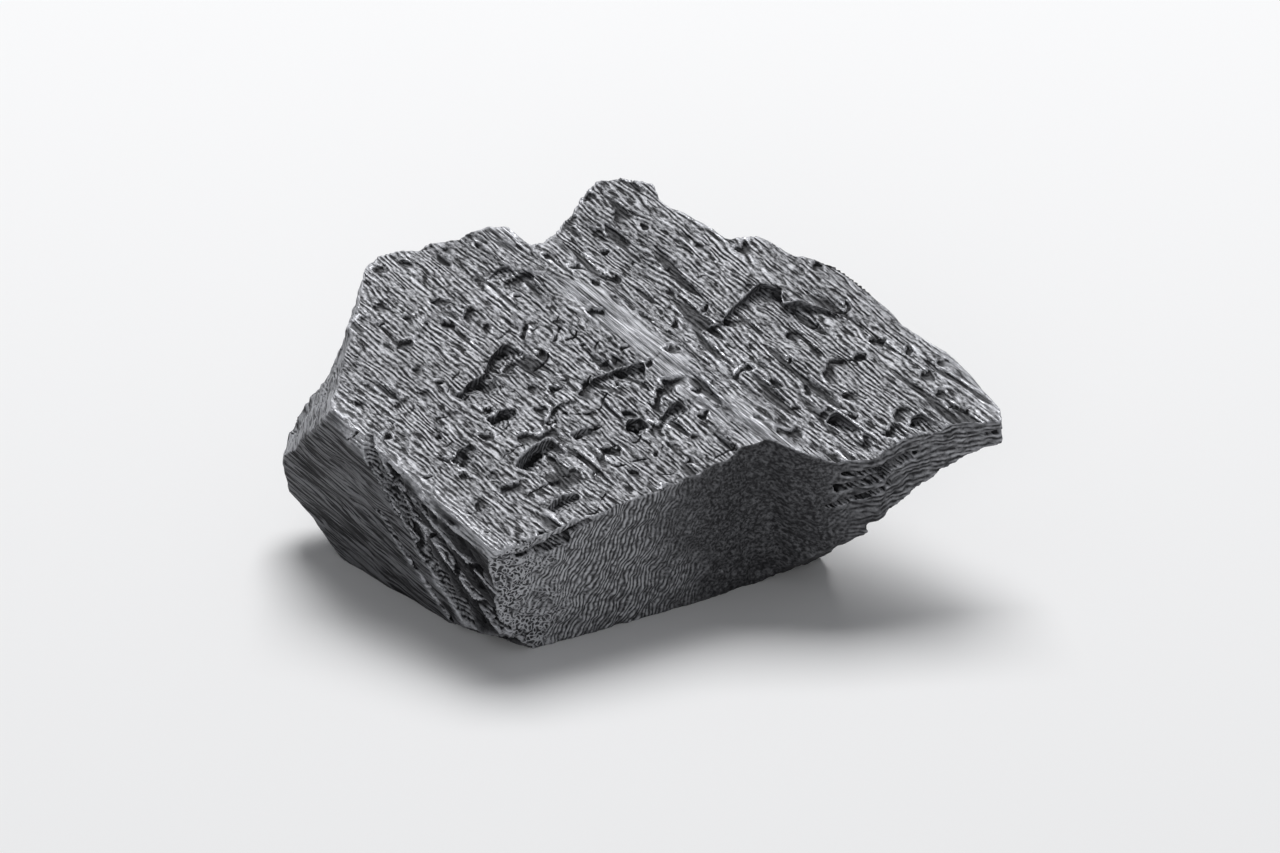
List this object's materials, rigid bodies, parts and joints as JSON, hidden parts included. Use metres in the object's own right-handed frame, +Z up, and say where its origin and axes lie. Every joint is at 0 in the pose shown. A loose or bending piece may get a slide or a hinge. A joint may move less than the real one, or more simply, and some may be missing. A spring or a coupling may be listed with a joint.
{
  "type": "charcoal lump",
  "caption": "Broken lump of hardwood charcoal lying on a flat broken side, with split fibrous faces, snapped end grain and an overhanging leaf.",
  "frame": {"origin": "on the ground under the middle of the lump's box", "axes": "+X along the lump's longest side, towards the overhanging leaf; +Z up, the shortest side; -Y is the front, with the snapped end grain"},
  "size_m": [0.12, 0.0834, 0.0503],
  "materials": {
    "charred_wood": "blue-black charred wood: satin graphite sheen on the split fibres, matt and porous on the snapped end grain"
  },
  "bodies": {
    "root": {"charcoal_lump": "charred_wood"}
  },
  "joints": []
}
